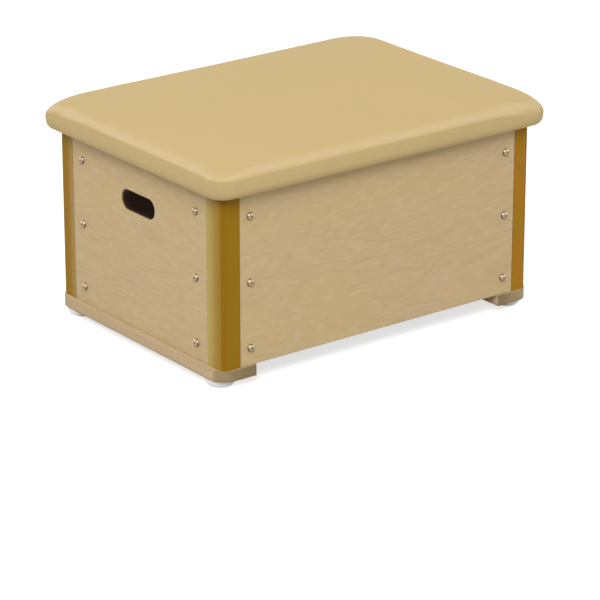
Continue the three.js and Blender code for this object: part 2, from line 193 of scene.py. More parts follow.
class Shader(Nodes):
    """A material in the making. Its place is the point's place in the row frame, in metres."""

    def __init__(self, name):
        self.material = bpy.data.materials.new(name)
        super().__init__(self.material)
        self.place = self.add("ShaderNodeTexCoord").outputs["Object"]

    def noise(self, vector, scale=1.0, detail=3.0, roughness=0.5, distortion=0.0):
        inputs = {"Vector": vector, "Scale": scale, "Detail": detail}
        inputs.update({"Roughness": roughness, "Distortion": distortion})
        return self.add("ShaderNodeTexNoise", inputs).outputs["Fac"]

    def grain(self, along, length_scale, cross_scale, offset=(0, 0, 0), turn=(0, 0, 0), **settings):
        """Noise that is drawn out along one axis, as wood's figure is."""
        scale = tuple(length_scale if axis == along else cross_scale for axis in AXES)
        inputs = {"Vector": self.place, "Scale": scale, "Location": offset, "Rotation": turn}
        return self.noise(self.add("ShaderNodeMapping", inputs).outputs["Vector"], **settings)

    def cells(self, scale, feature="F1"):
        inputs = {"Vector": self.place, "Scale": scale}
        return self.add("ShaderNodeTexVoronoi", inputs, feature=feature).outputs["Distance"]

    def mix(self, share, first, second):
        node = self.add("ShaderNodeMix", data_type="RGBA", blend_type="MIX")
        colours = [s for s in node.inputs if s.type == "RGBA"]
        self.put(node.inputs["Factor"], share)
        self.put(colours[0], first)
        self.put(colours[1], second)
        return next(s for s in node.outputs if s.type == "RGBA")

    def tint(self, colour, towards, value, low, high, most=1.0):
        """Turns a colour towards another, by most at the end, as value goes from low to high."""
        return self.mix(self.span(value, low, high, 0.0, most), colour, towards)

    def part_of(self, vector, name):
        return self.add("ShaderNodeSeparateXYZ", {"Vector": vector}).outputs[name]

    def axis(self, name):
        return self.part_of(self.place, name)

    def distance(self, name):
        """How far the point is from the middle along an axis."""
        return self.absolute(self.axis(name))

    def normal(self, name):
        return self.part_of(self.add("ShaderNodeNewGeometry").outputs["Normal"], name)

    def facing(self, name):
        """How much the surface faces along an axis, either way."""
        return self.absolute(self.normal(name))

    def cornering(self):
        """How much the surface faces out between the X and Y axes, as it does round an upright corner."""
        return self.absolute(self.product(self.normal("X"), self.normal("Y")))

    def bump(self, height, distance, strength):
        inputs = {"Height": height, "Distance": distance, "Strength": strength}
        return self.add("ShaderNodeBump", inputs).outputs["Normal"]

    def finish(self, colour, roughness, normal, **constants):
        inputs = {"Base Color": colour, "Roughness": roughness, "Normal": normal}
        inputs.update({key.replace("_", " "): value for key, value in constants.items()})
        shader = self.add("ShaderNodeBsdfPrincipled", inputs)
        self.add("ShaderNodeOutputMaterial", {"Surface": shader.outputs["BSDF"]})
        return self.material


# Materials


def leatherette():
    """A wipe-clean cover with a fine grain. A painted highlight makes it paler over the shoulder, painted
    shade makes it duller in the fold below that on the end sides, and painted shade makes it duller round
    the corners."""
    dark, light = linear(199, 174, 123), linear(201, 176, 125)
    crease_tone, ridge_painted_highlight_tone = linear(182, 155, 104), linear(203, 181, 140)
    fold_painted_shade_tone, corner_painted_shade = linear(180, 156, 108), linear(178, 155, 108)
    s = Shader("leatherette")
    cloud = s.noise(s.place, scale=5.0, detail=2.0)
    pores = s.cells(620.0)
    creases = s.cells(300.0, "DISTANCE_TO_EDGE")
    fine = s.noise(s.place, scale=1500.0, detail=2.0)
    facing_up = s.normal("Z")

    colour = s.mix(s.span(cloud, 0.3, 0.7), dark, light)
    colour = s.mix(s.span(creases, 0.0, 0.12, 0.14, 0.0), colour, crease_tone)
    # Painted highlight: a paler band where the surface turns from the top towards the sides.
    ridge_painted_highlight = s.product(s.span(facing_up, 0.95, 0.84), s.span(facing_up, 0.52, 0.7))
    colour = s.mix(s.product(ridge_painted_highlight, 0.7), colour, ridge_painted_highlight_tone)
    # Painted shade: darker in the fold below the shoulder on the end sides.
    fold_painted_shade = s.product(s.span(facing_up, 0.74, 0.5), s.span(facing_up, 0.1, 0.4))
    fold_painted_shade = s.product(fold_painted_shade, s.span(s.facing("X"), 0.35, 0.6))
    colour = s.mix(s.product(fold_painted_shade, 0.6), colour, fold_painted_shade_tone)
    # Painted shade: duller where the cover turns round an upright corner.
    colour = s.tint(colour, corner_painted_shade, s.cornering(), 0.1, 0.5, 0.5)

    grain = s.math("MULTIPLY_ADD", pores, 0.3, fine)
    height = s.math("MULTIPLY_ADD", s.span(creases, 0.0, 0.3), 0.6, grain)
    roughness = s.span(cloud, 0.3, 0.7, 0.44, 0.5)
    return s.finish(colour, roughness, s.bump(height, 0.0001, 0.4), Specular_IOR_Level=0.05)


def foam():
    """Cream foam with darker pores."""
    dark, light, pore_tone = linear(226, 216, 186), linear(238, 229, 203), linear(190, 176, 140)
    s = Shader("foam")
    pores = s.cells(900.0)
    cloud = s.noise(s.place, scale=12.0)
    colour = s.mix(s.span(cloud, 0.3, 0.7), dark, light)
    colour = s.mix(s.span(pores, 0.0, 0.3, 0.35, 0.0), colour, pore_tone)
    return s.finish(colour, 0.95, s.bump(pores, 0.0006, 0.8), Specular_IOR_Level=0.1)


def ply_layers(s, thickness_axis):
    """The edge of plywood: pale and dark layers with short streaks."""
    pale, dark, streak_tone = linear(196, 168, 122), linear(140, 104, 66), linear(116, 84, 50)
    depth = s.product(s.axis(thickness_axis), 1 / veneer_thickness)
    layer = s.math("FRACT", s.product(depth, 0.5))
    darker = s.span(s.absolute(s.math("SUBTRACT", layer, 0.5)), 0.2, 0.3)
    streak = s.noise(s.place, scale=240.0, detail=2.0)
    return s.tint(s.mix(darker, pale, dark), streak_tone, streak, 0.35, 0.7, 0.35)


def birch_ply(name, along, thickness_axis, seed, outer_face=None, holed=False):
    """Rotary-cut birch veneer, and the glued layers on its edges. A wall of the box is darkened inside with
    painted shade, and the walls of a hand hole are painted dark as shade, less so by the outer face."""
    warm, cool = linear(200, 175, 129), linear(200, 175, 137)
    blotch_tone, pale_tone = linear(196, 169, 122), linear(209, 185, 148)
    wisp_tone, figure_tone = linear(184, 156, 112), linear(188, 160, 114)
    fibre_tone, fleck_tone = linear(180, 153, 110), linear(168, 138, 96)
    inside_painted_shade = linear(104, 79, 52)
    hole_deep_painted_shade, hole_lip_painted_shade = linear(40, 29, 22), linear(112, 88, 58)
    s = Shader(name)
    offset = (seed, seed * 0.7, seed * 1.3)
    lean = (0.05, 0.05, 0.05)
    cloud = s.grain(along, 3.0, 5.0, offset, detail=2.0)
    blotch = s.grain(along, 34.0, 88.0, offset, lean, roughness=0.6)
    wisp = s.grain(along, 9.0, 130.0, offset, lean, distortion=0.3)
    fibre = s.grain(along, 26.0, 900.0, offset, detail=2.0)
    fleck = s.grain(along, 60.0, 400.0, offset, detail=2.0)
    swirl = s.grain(along, 1.5, 7.0, offset, detail=2.0, distortion=0.8)
    rings = s.math("SINE", s.product(swirl, 110.0))
    figure = s.product(s.span(rings, 0.2, 1.0), s.span(cloud, 0.38, 0.6))

    face = s.mix(s.span(cloud, 0.35, 0.65), warm, cool)
    face = s.tint(face, blotch_tone, blotch, 0.5, 0.68, 0.45)
    face = s.tint(face, pale_tone, blotch, 0.48, 0.3, 0.45)
    face = s.tint(face, wisp_tone, wisp, 0.56, 0.74, 0.26)
    face = s.mix(s.product(figure, 0.3), face, figure_tone)
    face = s.tint(face, fibre_tone, fibre, 0.4, 0.75, 0.12)
    face = s.tint(face, fleck_tone, fleck, 0.68, 0.8, 0.35)
    # Painted shade: the face darkens towards the inside of the box.
    if outer_face is not None:
        fade_start = outer_face - panel_thickness * 0.9
        fade_end = outer_face - panel_thickness * 0.95
        inside = s.span(s.distance(thickness_axis), fade_start, fade_end)
        face = s.mix(s.product(inside, 0.9), face, inside_painted_shade)

    layers = ply_layers(s, thickness_axis)
    # Painted shade: the walls of a hand hole are dark, less so by the outer face.
    if holed:
        lip = half_body_length - hole_lip
        outer = s.span(s.distance("X"), lip - hole_fade, lip)
        in_wall = s.span(s.distance("Y"), hand_hole_length, hand_hole_length * 0.6)
        layers = s.mix(in_wall, layers, s.mix(outer, hole_deep_painted_shade, hole_lip_painted_shade))
    colour = s.mix(s.span(s.facing(thickness_axis), 0.55, 0.92), layers, face)
    roughness = s.span(blotch, 0.3, 0.7, 0.5, 0.62)
    return s.finish(colour, roughness, s.bump(fibre, 0.00008, 0.4), Specular_IOR_Level=0.2)


def stained_post():
    """An ochre stain with the grain running up the post. A painted highlight makes it paler on the end
    faces, most of all by the panel and on the two front posts, painted shade darkens it round its rounded
    corner, and it is striped on the right ones."""
    stain, stain_light = linear(149, 113, 22), linear(155, 113, 25)
    stripe_dark, stripe_light = linear(160, 122, 24), linear(176, 116, 36)
    narrow_tone, corner_painted_shade, pore_tone = linear(138, 99, 16), linear(136, 100, 18), linear(108, 74, 14)
    front_painted_highlight_outer, front_painted_highlight_by_panel = linear(161, 126, 52), linear(187, 164, 96)
    back_painted_highlight_by_panel = linear(172, 142, 84)
    s = Shader("stained_post_wood")
    broad = s.grain("Z", 1.2, 46.0, detail=1.0, distortion=0.3)
    stripes = s.grain("Z", 1.0, 260.0, detail=1.0)
    narrow = s.grain("Z", 3.0, 300.0)
    pores = s.grain("Z", 45.0, 1400.0, detail=2.0)

    tone = s.mix(s.span(broad, 0.4, 0.6), stain, stain_light)
    striped = s.mix(s.span(stripes, 0.42, 0.58), stripe_dark, stripe_light)
    tone = s.mix(s.span(s.axis("X"), 0.2, 0.3), tone, striped)
    tone = s.tint(tone, narrow_tone, narrow, 0.4, 0.75, 0.16)
    # Painted shade: darker round the rounded corner.
    tone = s.tint(tone, corner_painted_shade, s.cornering(), 0.1, 0.5, 0.8)
    # Painted highlight: the end faces are paler, most of all by the panel.
    post_inner_face = half_body_width - post_face_end
    by_panel = s.span(s.distance("Y"), half_body_width - post_corner_radius / 2, post_inner_face)
    front_painted_highlight = s.mix(by_panel, front_painted_highlight_outer, front_painted_highlight_by_panel)
    back_painted_highlight = s.mix(s.math("POWER", by_panel, 3.0), tone, back_painted_highlight_by_panel)
    end_painted_highlight = s.mix(s.span(s.axis("Y"), 0.1, -0.1), back_painted_highlight, front_painted_highlight)
    tone = s.mix(s.span(s.facing("X"), 0.78, 1.0), tone, end_painted_highlight)
    colour = s.tint(tone, pore_tone, pores, 0.6, 0.78, 0.25)
    height = s.math("MULTIPLY_ADD", pores, -0.5, narrow)
    return s.finish(colour, 0.5, s.bump(height, 0.00008, 0.3), Specular_IOR_Level=0.06)


def pale_wood(name, along):
    """Planed wood whose end grain is darker than its faces. Painted shade darkens its upward faces, its end
    grain towards a runner's inner end and the edge round a runner's underside, and painted light makes its
    end grain paler on the right.
    """
    light, dark = linear(204, 180, 146), linear(196, 171, 134)
    narrow_tone, top_painted_shade, pore_tone = linear(176, 148, 112), linear(188, 167, 132), linear(128, 100, 70)
    end_left, end_right_painted_light = linear(156, 137, 104), linear(182, 160, 124)
    end_inner_painted_shade, end_narrow = linear(138, 120, 86), linear(128, 110, 78)
    low_edge_painted_shade = linear(130, 112, 84)
    s = Shader(name)
    broad = s.grain(along, 3.0, 45.0, distortion=0.5)
    narrow = s.grain(along, 12.0, 380.0)
    pores = s.grain(along, 90.0, 1300.0, detail=2.0)

    tone = s.mix(s.span(broad, 0.3, 0.7), light, dark)
    tone = s.tint(tone, narrow_tone, narrow, 0.4, 0.75, 0.3)
    # Painted shade: upward faces are darker.
    tone = s.tint(tone, top_painted_shade, s.normal("Z"), 0.5, 0.95, 0.6)
    # End grain is darker than the faces; painted shade darkens it towards a runner's inner end, and painted
    # light makes it paler on the right.
    outwards = s.span(s.distance("X"), half_body_length - runner_width, half_body_length)
    end_outer = s.mix(s.span(s.axis("X"), -0.1, 0.1), end_left, end_right_painted_light)
    end_grain_and_painted_shade = s.mix(outwards, end_inner_painted_shade, end_outer)
    end_grain_and_painted_shade = s.tint(end_grain_and_painted_shade, end_narrow, narrow, 0.35, 0.7, 0.4)
    tone = s.mix(s.span(s.facing(along), 0.05, 0.55), tone, end_grain_and_painted_shade)
    # Painted shade: darker along the lowest few millimetres round a runner's underside.
    tone = s.tint(tone, low_edge_painted_shade, s.axis("Z"), runner_bottom + low_edge_height, runner_bottom, 0.5)
    colour = s.tint(tone, pore_tone, pores, 0.6, 0.78, 0.4)
    height = s.math("MULTIPLY_ADD", pores, -0.5, narrow)
    roughness = s.span(narrow, 0.3, 0.7, 0.55, 0.68)
    return s.finish(colour, roughness, s.bump(height, 0.0001, 0.4), Specular_IOR_Level=0.1)


def foot_plastic():
    """Pale plastic, scuffed where it stands on the floor."""
    dark, light, scuff_tone = linear(240, 240, 237), linear(245, 245, 244), linear(150, 146, 138)
    s = Shader("foot_plastic")
    cloud = s.noise(s.place, scale=60.0)
    texture = s.noise(s.place, scale=1400.0, detail=2.0)
    colour = s.mix(s.span(cloud, 0.3, 0.7), dark, light)
    scuffed = s.product(s.span(s.axis("Z"), 0.0, scuff_height, 1.0, 0.0), s.span(cloud, 0.35, 0.6))
    colour = s.mix(s.product(scuffed, 0.5), colour, scuff_tone)
    roughness = s.span(cloud, 0.3, 0.7, 0.36, 0.46)
    return s.finish(colour, roughness, s.bump(texture, 0.00006, 0.4), Specular_IOR_Level=0.5)


def steel(name, radius, middle, rim, pale, dull):
    """Turned steel round the piece's own Z axis. Painted shade darkens it towards the given radius and on
    its lower half, and a painted highlight makes its upper half pale."""
    s = Shader(name)
    turned_marks = s.noise(s.place, scale=900.0)
    squares = [s.math("POWER", s.distance(axis), 2.0) for axis in "XY"]
    out = s.math("SQRT", s.math("ADD", *squares))
    # Painted shade: darker towards the rim.
    colour = s.tint(middle, rim, out, radius * 0.62, radius * 0.92)
    facing_up = s.normal("Z")
    # Painted highlight on the upper half.
    painted_highlight_share = s.product(s.span(facing_up, 0.15, 0.4), s.span(facing_up, 0.9, 0.7))
    colour = s.mix(s.product(painted_highlight_share, 0.6), colour, pale)
    # Painted shade on the lower half.
    colour = s.tint(colour, rim, facing_up, 0.1, -0.45, 0.3)
    roughness = s.span(turned_marks, 0.3, 0.7, dull - 0.05, dull + 0.07)
    return s.finish(colour, roughness, s.bump(turned_marks, 0.00003, 0.4), Metallic=1.0)


cover_finish = leatherette()
foam_finish = foam()
ply_long = birch_ply("birch_long_wall", "X", "Y", 3.1, half_body_width)
ply_end = birch_ply("birch_end_wall", "Y", "X", 8.4, half_body_length, holed=True)
ply_board = birch_ply("birch_board", "X", "Z", 5.7)
post_finish = stained_post()
runner_finish = pale_wood("runner_wood", "Y")
cleat_long = pale_wood("long_cleat_wood", "X")
foot_finish = foot_plastic()
# rim is the colour of the painted shade, pale that of the painted highlight.
screw_finish = steel("screw_steel", panel_head.radius, middle=linear(166, 150, 120),
                     rim=linear(112, 95, 70), pale=linear(200, 186, 156), dull=0.42)
# The cross recess is painted dark as shade.
recess_painted_shade_finish = steel("screw_recess_painted_shade", panel_head.radius, middle=linear(50, 44, 36),
                      rim=linear(40, 34, 28), pale=linear(70, 62, 50), dull=0.6)

# All staples lie in one mesh round the frame's middle, well inside this radius, so none has a darker rim
past_staples = 1.0
# Its pale colour is a painted highlight on the upper half and its rim colour painted shade on the lower
# half.
staple_finish = steel("staple_steel", past_staples, middle=linear(190, 190, 187),
                      rim=linear(150, 150, 146), pale=linear(204, 204, 200), dull=0.35)


# Mesh building


def link(name, mesh):
    piece = bpy.data.objects.new(name, mesh)
    bpy.context.scene.collection.objects.link(piece)
    return piece


def mesh_from(name, bm):
    mesh = bpy.data.meshes.new(name)
    bm.to_mesh(mesh)
    bm.free()
    return mesh


def dress(piece, replaced=()):
    """Ties a piece to its body and hides the CAD nodes that it stands for."""
    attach(piece, BODY)
    if replaced:
        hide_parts(*replaced)


def new_piece(name, bm, material, replaced=(), sharp=SHARP_ANGLE):
    mesh = mesh_from(name, bm)
    mesh.materials.append(material)
    mesh.shade_smooth()
    mesh.set_sharp_from_angle(angle=sharp)
    piece = link(name, mesh)
    dress(piece, replaced)
    return piece


def bake(piece):
    """Applies the piece's modifiers to its mesh."""
    graph = bpy.context.evaluated_depsgraph_get()
    mesh = bpy.data.meshes.new_from_object(piece.evaluated_get(graph))
    piece.modifiers.clear()
    old = piece.data
    piece.data = mesh
    bpy.data.meshes.remove(old)
    mesh.name = piece.name


def even_shading(piece):
    """Keeps flat faces flat next to their rounded edges."""
    modifier = piece.modifiers.new("even_shading", "WEIGHTED_NORMAL")
    modifier.keep_sharp = True
    modifier.weight = 90
    bake(piece)


def cut(piece, bm):
    """Takes a closed form out of a piece."""
    mesh = mesh_from("cutter", bm)
    cutter = link("cutter", mesh)
    modifier = piece.modifiers.new("cut", "BOOLEAN")
    modifier.operation = "DIFFERENCE"
    modifier.solver = "EXACT"
    modifier.object = cutter
    bake(piece)
    bpy.data.objects.remove(cutter)
    bpy.data.meshes.remove(mesh)


def bridge(bm, one, two):
    """Joins two rings of vertices by faces. A ring of one vertex gives triangles."""
    for i in range(max(len(one), len(two))):
        k = i + 1
        loop = [one[i % len(one)], one[k % len(one)], two[k % len(two)], two[i % len(two)]]
        bm.faces.new(list(dict.fromkeys(loop)))


def skirt(bm, upper, lower):
    """Joins a ring of vertices to the one below it, of the same length."""
    for i in range(len(upper)):
        k = (i + 1) % len(upper)
        bm.faces.new((upper[i], lower[i], lower[k], upper[k]))


def circle(radius, count):
    turns = [2 * math.pi * i / count for i in range(count)]
    return [(radius * math.cos(a), radius * math.sin(a)) for a in turns]


def rounded_outline(low_x, low_y, high_x, high_y, radii):
    """A rectangle with its own radius at each corner, from the lowest corner on."""
    low_corners = [(low_x, low_y, 1, 1), (high_x, low_y, -1, 1)]
    high_corners = [(high_x, high_y, -1, -1), (low_x, high_y, 1, -1)]
    points = []
    for k, (x, y, in_x, in_y) in enumerate(low_corners + high_corners):
        for i in range(OUTLINE_STEPS + 1):
            angle = math.pi + QUARTER * (k + i / OUTLINE_STEPS)
            across = radii[k] * (in_x + math.cos(angle))
            points.append((x + across, y + radii[k] * (in_y + math.sin(angle))))
    return points


def flat_solid(outlines, thickness, place):
    """A flat board with holes. place turns a point of the outline and a depth into a place in the frame."""
    bm = bmesh.new()
    edges = []
    for outline in outlines:
        loop = [bm.verts.new((x, y, 0)) for x, y in outline]
        for k, vertex in enumerate(loop):
            edges.append(bm.edges.new((vertex, loop[(k + 1) % len(loop)])))
    bmesh.ops.triangle_fill(bm, use_beauty=True, use_dissolve=False, edges=edges)
    extruded = bmesh.ops.extrude_face_region(bm, geom=list(bm.faces))
    for item in extruded["geom"]:
        if isinstance(item, bmesh.types.BMVert):
            item.co.z = thickness
    for vertex in bm.verts:
        vertex.co = place(vertex.co.x, vertex.co.y, vertex.co.z)
    bmesh.ops.recalc_face_normals(bm, faces=bm.faces)
    return bm


def round_edges(bm, radius, segments, chosen):
    """Rounds the edges that bend and that chosen says yes to."""
    bent = [e for e in bm.edges if len(e.link_faces) == 2 and e.calc_face_angle(0) > ROUNDED_ANGLE]
    bmesh.ops.bevel(bm, geom=[e for e in bent if chosen(e)], offset=radius, offset_type="OFFSET",
                    segments=segments, profile=0.5, affect="EDGES", clamp_overlap=True)


# End panels with a rounded-over hand hole


def end_panel(node):
    low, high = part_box(node)
    half_width = (high.y - low.y) / 2
    hole_middle = high.z - hand_hole_drop
    half_long, half_tall = hand_hole_length / 2, hand_hole_height / 2
    wall = [(-half_width, low.z), (half_width, low.z), (half_width, high.z), (-half_width, high.z)]
    hole = rounded_outline(-half_long, hole_middle - half_tall, half_long, hole_middle + half_tall,
                           [hand_hole_radius] * 4)
    bm = flat_solid([wall, hole], high.x - low.x, lambda y, z, depth: Vector((low.x + depth, y, z)))

    def at_hole(edge):
        y = sum(abs(v.co.y) for v in edge.verts) / 2
        z = sum(abs(v.co.z - hole_middle) for v in edge.verts) / 2
        return y < half_long + hole_margin and z < half_tall + hole_margin

    round_edges(bm, hole_rounding, HOLE_SEGMENTS, at_hole)
    round_edges(bm, board_rounding, BOARD_SEGMENTS, lambda edge: not at_hole(edge))
    even_shading(new_piece(node + "_board", bm, ply_end, [node]))


for side in ("left", "right"):
    end_panel(f"{side}_end_panel")


# Corner posts, each with two wings behind the panels


def post(node, in_x, in_y):
    """in_x and in_y are the way from the post's outer corner to the middle of the box."""
    low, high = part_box(node)
    corner_x = low.x if in_x > 0 else high.x
    corner_y = low.y if in_y > 0 else high.y
    wing_face = panel_thickness + joint
    wing_inside = wing_face + wing_thickness
    long_reach = long_screw_reach + wing_margin
    end_reach = end_screw_reach + wing_margin
    outline = []
    for i in range(POST_STEPS + 1):
        angle = QUARTER * i / POST_STEPS
        across = post_corner_radius * (1 - math.sin(angle))
        outline.append((across, post_corner_radius * (1 - math.cos(angle))))
    outline += [
        (0, post_face_end), (wing_face, post_face_end), (wing_face, end_reach), (wing_inside, end_reach),
        (wing_inside, wing_inside), (long_reach, wing_inside), (long_reach, wing_face),
        (post_face_long, wing_face), (post_face_long, 0),
    ]
    bm = flat_solid([outline], high.z - low.z,
                    lambda x, y, depth: Vector((corner_x + in_x * x, corner_y + in_y * y, low.z + depth)))
    round_edges(bm, board_rounding, BOARD_SEGMENTS, lambda edge: True)
    even_shading(new_piece(node + "_block", bm, post_finish, [node]))


CORNERS = [("front_left", -1, -1), ("front_right", 1, -1), ("back_left", -1, 1), ("back_right", 1, 1)]
for corner, side_x, side_y in CORNERS:
    post(corner + "_post", -side_x, -side_y)


# Runners, with a well under each runner screw


def runner(side):
    node = side + "_runner"
    low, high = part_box(node)
    outer, inner = runner_corner_radius, runner_inner_radius
    radii = [outer, inner, inner, outer] if side == "left" else [inner, outer, outer, inner]
    outline = rounded_outline(low.x, low.y, high.x, high.y, radii)
    bm = flat_solid([outline], high.z - low.z, lambda x, y, depth: Vector((x, y, low.z + depth)))

    def level(edge):
        return abs(edge.verts[0].co.z - edge.verts[1].co.z) < joint

    round_edges(bm, runner_rounding, RUNNER_SEGMENTS, level)
    piece = new_piece(node + "_board", bm, runner_finish, [node])
    radius = small_head.radius + joint
    depth = small_head.height + joint
    for end in ("front", "back"):
        middle = place_of(f"{end}_{side}_runner_screw")[0]
        well = bmesh.new()
        bmesh.ops.create_cone(well, cap_ends=True, segments=WELL_TURNS, radius1=radius, radius2=radius,
                              depth=depth * 2, matrix=Matrix.Translation((middle.x, middle.y, low.z)))
        cut(piece, well)
    even_shading(piece)


for side in ("left", "right"):
    runner(side)


# Turned pieces


def turned(profile, steps, closed=False):
    """A form turned round Z from a profile of (radius, height). Its first and last points are on the axis,
    or it is closed and never meets the axis."""
    bm = bmesh.new()
    rings = []
    for radius, height in profile:
        around = circle(radius, steps) if radius > 0 else [(0, 0)]
        rings.append([bm.verts.new((x, y, height)) for x, y in around])
    pairs = list(zip(rings, rings[1:]))
    if closed:
        pairs.append((rings[-1], rings[0]))
    for one, two in pairs:
        bridge(bm, one, two)
    bmesh.ops.recalc_face_normals(bm, faces=bm.faces)
    return bm


def foot_form(radius, height, screw_radius):
    """The profile of a domed foot: down the screw's hole and its well, then out over the dome and up."""
    dome = height - foot_rim
    profile = [(screw_radius, height), (screw_radius, foot_seat_depth), (foot_well_radius, foot_seat_depth)]
    profile += [(foot_well_radius, foot_well_rounding), (foot_well_radius + foot_well_rounding, 0)]
    for i in range(DOME_STEPS + 1):
        angle = QUARTER * i / DOME_STEPS
        reach = foot_base_radius + (radius - foot_base_radius) * math.sin(angle)
        profile.append((reach, dome * (1 - math.cos(angle))))
    return profile + [(radius, height - foot_rounding), (radius - foot_rounding, height)]


for corner, *_ in CORNERS:
    middle, low, high = place_of(corner + "_foot")
    form = foot_form((high.x - low.x) / 2, high.z - low.z, shank_radius + joint)
    bm = turned(form, FOOT_TURNS, closed=True)
    bmesh.ops.translate(bm, vec=(middle.x, middle.y, low.z), verts=bm.verts)
    new_piece(corner + "_foot_dome", bm, foot_finish, [corner + "_foot"], FOOT_SHARP_ANGLE)


# Screws: a domed head with a cross recess, along +Z, its underside at z = 0

tip_radius_share = 0.5
tip_length_share = 0.4
recess_top_share = 1.3
recess_bottom_share = 0.55
recess_wall_slope = 0.4


def recess_form(head):
    """A cross that narrows downwards. Only its inner corners keep their place."""
    half_arm, half_slot = head.arm / 2, head.slot / 2
    outline = []
    for k in range(4):
        turn = Matrix.Rotation(QUARTER * k, 2)
        for x, y in ((half_slot, -half_slot), (half_arm, -half_slot), (half_arm, half_slot)):
            outline.append(turn @ Vector((x, y)))
    bm = bmesh.new()
    rings = []
    bottom, top = head.height - head.depth, head.height * recess_top_share
    for height, share in ((bottom, recess_bottom_share), (top, 1.0)):
        ring = []
        for k, point in enumerate(outline):
            there = point * (1.0 if k % 3 == 0 else share)
            ring.append(bm.verts.new((there.x, there.y, height)))
        rings.append(ring)
    bridge(bm, *rings)
    bm.faces.new(rings[0][::-1])
    bm.faces.new(rings[1])
    bmesh.ops.recalc_face_normals(bm, faces=bm.faces)
    return bm


def screw_mesh(name, head, length):
    """A screw with its recess cut and shaded apart from the rest."""
    profile = [(0, -length), (shank_radius * tip_radius_share, -length + screw_tip * tip_length_share)]
    profile += [(shank_radius, screw_tip - length), (shank_radius, 0), (head.radius - head_rounding, 0)]
    profile += [(head.radius, head_rounding), (head.radius, head.rim)]
    for i in range(1, HEAD_STEPS + 1):
        angle = QUARTER * i / HEAD_STEPS
        reach = head.radius * math.cos(angle) if i < HEAD_STEPS else 0
        profile.append((reach, head.rim + (head.height - head.rim) * math.sin(angle)))
    piece = link(name, mesh_from(name, turned(profile, SCREW_TURNS)))
    piece.data.materials.append(screw_finish)
    piece.data.materials.append(recess_painted_shade_finish)
    cut(piece, recess_form(head))
    mesh = piece.data
    bottom = head.height - head.depth
    for polygon in mesh.polygons:
        inside = polygon.center.xy.length < head.arm / 2 and polygon.center.z > bottom - joint
        rests = abs(polygon.center.z - bottom) < joint
        steep = polygon.normal.dot(UP) < recess_wall_slope
        polygon.material_index = 1 if inside and (steep or rests) else 0
    mesh.shade_smooth()
    mesh.set_sharp_from_angle(angle=SHARP_ANGLE)
    bpy.data.objects.remove(piece)
    return mesh


def shank_length(node, axis, head):
    low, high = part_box(node)
    return getattr(high, axis) - getattr(low, axis) - head.height


def place_screw(node, mesh, head, out):
    """Puts a screw where its CAD node is. out is the way that its head points."""
    middle, low, high = place_of(node)
    seat = Vector(middle)
    for k in range(3):
        if out[k]:
            seat[k] = (high[k] if out[k] > 0 else low[k]) - out[k] * head.height
    piece = link(node + "_head", mesh)
    facing = Vector(out).to_track_quat("Z", "Y").to_matrix().to_4x4()
    turn = Matrix.Rotation(random.uniform(0, QUARTER), 4, "Z")
    piece.matrix_world = Matrix.Translation(seat) @ facing @ turn
    dress(piece, [node])


WALLS = {"front": (0, -1, 0), "back": (0, 1, 0), "left_end": (-1, 0, 0), "right_end": (1, 0, 0)}
DOWN = (0, 0, -1)
panel_screw = screw_mesh("panel_screw", panel_head, shank_length("front_screw_left_low", "y", panel_head))
small_screws = {}
for kind, one in (("foot_screw", "front_left_foot_screw"), ("runner_screw", "front_left_runner_screw"),
                  ("board_screw", "front_board_screw_1")):
    small_screws[kind] = screw_mesh(kind, small_head, shank_length(one, "z", small_head))
for node in sorted(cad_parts):
    for wall, out in WALLS.items():
        if node.startswith(wall + "_screw_"):
            place_screw(node, panel_screw, panel_head, out)
    for kind, mesh in small_screws.items():
        if f"_{kind}" in node:
            place_screw(node, mesh, small_head, DOWN)


# Padded top. A level is one turn round the pad: how far in from the outermost outline, how high,
# the radius of its corners, and how much of the sides' pull it takes. The shoulder is firm along the
# sides and softer at two of the corners.

pad_low, pad_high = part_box("cover")
half_x = (pad_high.x - pad_low.x) / 2
half_y = (pad_high.y - pad_low.y) / 2
pad_height = pad_high.z - pad_low.z - pad_crown
CORNER_STEPS = 12
LONG_POINTS = 37
SHORT_POINTS = 27
SHOULDER_STEPS = 14
SIDE_STEPS = 3
EDGE_STEPS = 4
HEM_STEPS = 4
start_crown = 0.0032
firm_side_height = 0.0405
firm_fullness = 1.58
soft_side_height = 0.027
soft_fullness = 1.75
soft_corners = (1, 3)
soft_reach = 0.11
foam_clearance = 0.0003
pleats = 4
pleat_depth = 0.0016

# The cover's swelling
swell_frames = 20
most_swell = 0.006
swell_share = 0.3
CLOTH = {
    "quality": 6,
    "mass": 0.4,
    "tension_stiffness": 300,
    "compression_stiffness": 300,
    "shear_stiffness": 150,
    "bending_stiffness": 50,
    "use_pressure": True,
    "uniform_pressure_force": 0.3,
    "vertex_group_mass": "held",
}


def points_along(k):
    """How many points side k has between its corners. The even sides are the long ones."""
    return LONG_POINTS if k % 2 == 0 else SHORT_POINTS


def level_ring(inset, height, radius, pull):
    reach_x = half_x - inset - radius
    reach_y = half_y - inset - radius
    points = []
    for k, (sign_x, sign_y) in enumerate(QUADRANTS):
        for i in range(CORNER_STEPS + 1):
            angle = QUARTER * (k + i / CORNER_STEPS)
            x = sign_x * reach_x + radius * math.cos(angle)
            points.append((x, sign_y * reach_y + radius * math.sin(angle)))
        count = points_along(k)
        for i in range(1, count + 1):
            along = 1 - 2 * i / (count + 1)
            out = radius - pull * pad_side_pull * (1 - along * along)
            if k % 2 == 0:
                points.append((sign_x * along * reach_x, sign_y * (reach_y + out)))
            else:
                points.append((sign_x * (reach_x + out), sign_y * along * reach_y))
    return [Vector((x, y, pad_low.z + height)) for x, y in points]


def pull_at(height):
    """How much the sides are pulled in, from 0 at the board to 1 at the top."""
    share = min(max((height - board_top) / (pad_height - board_top), 0), 1)
    return math.sin(QUARTER * share)


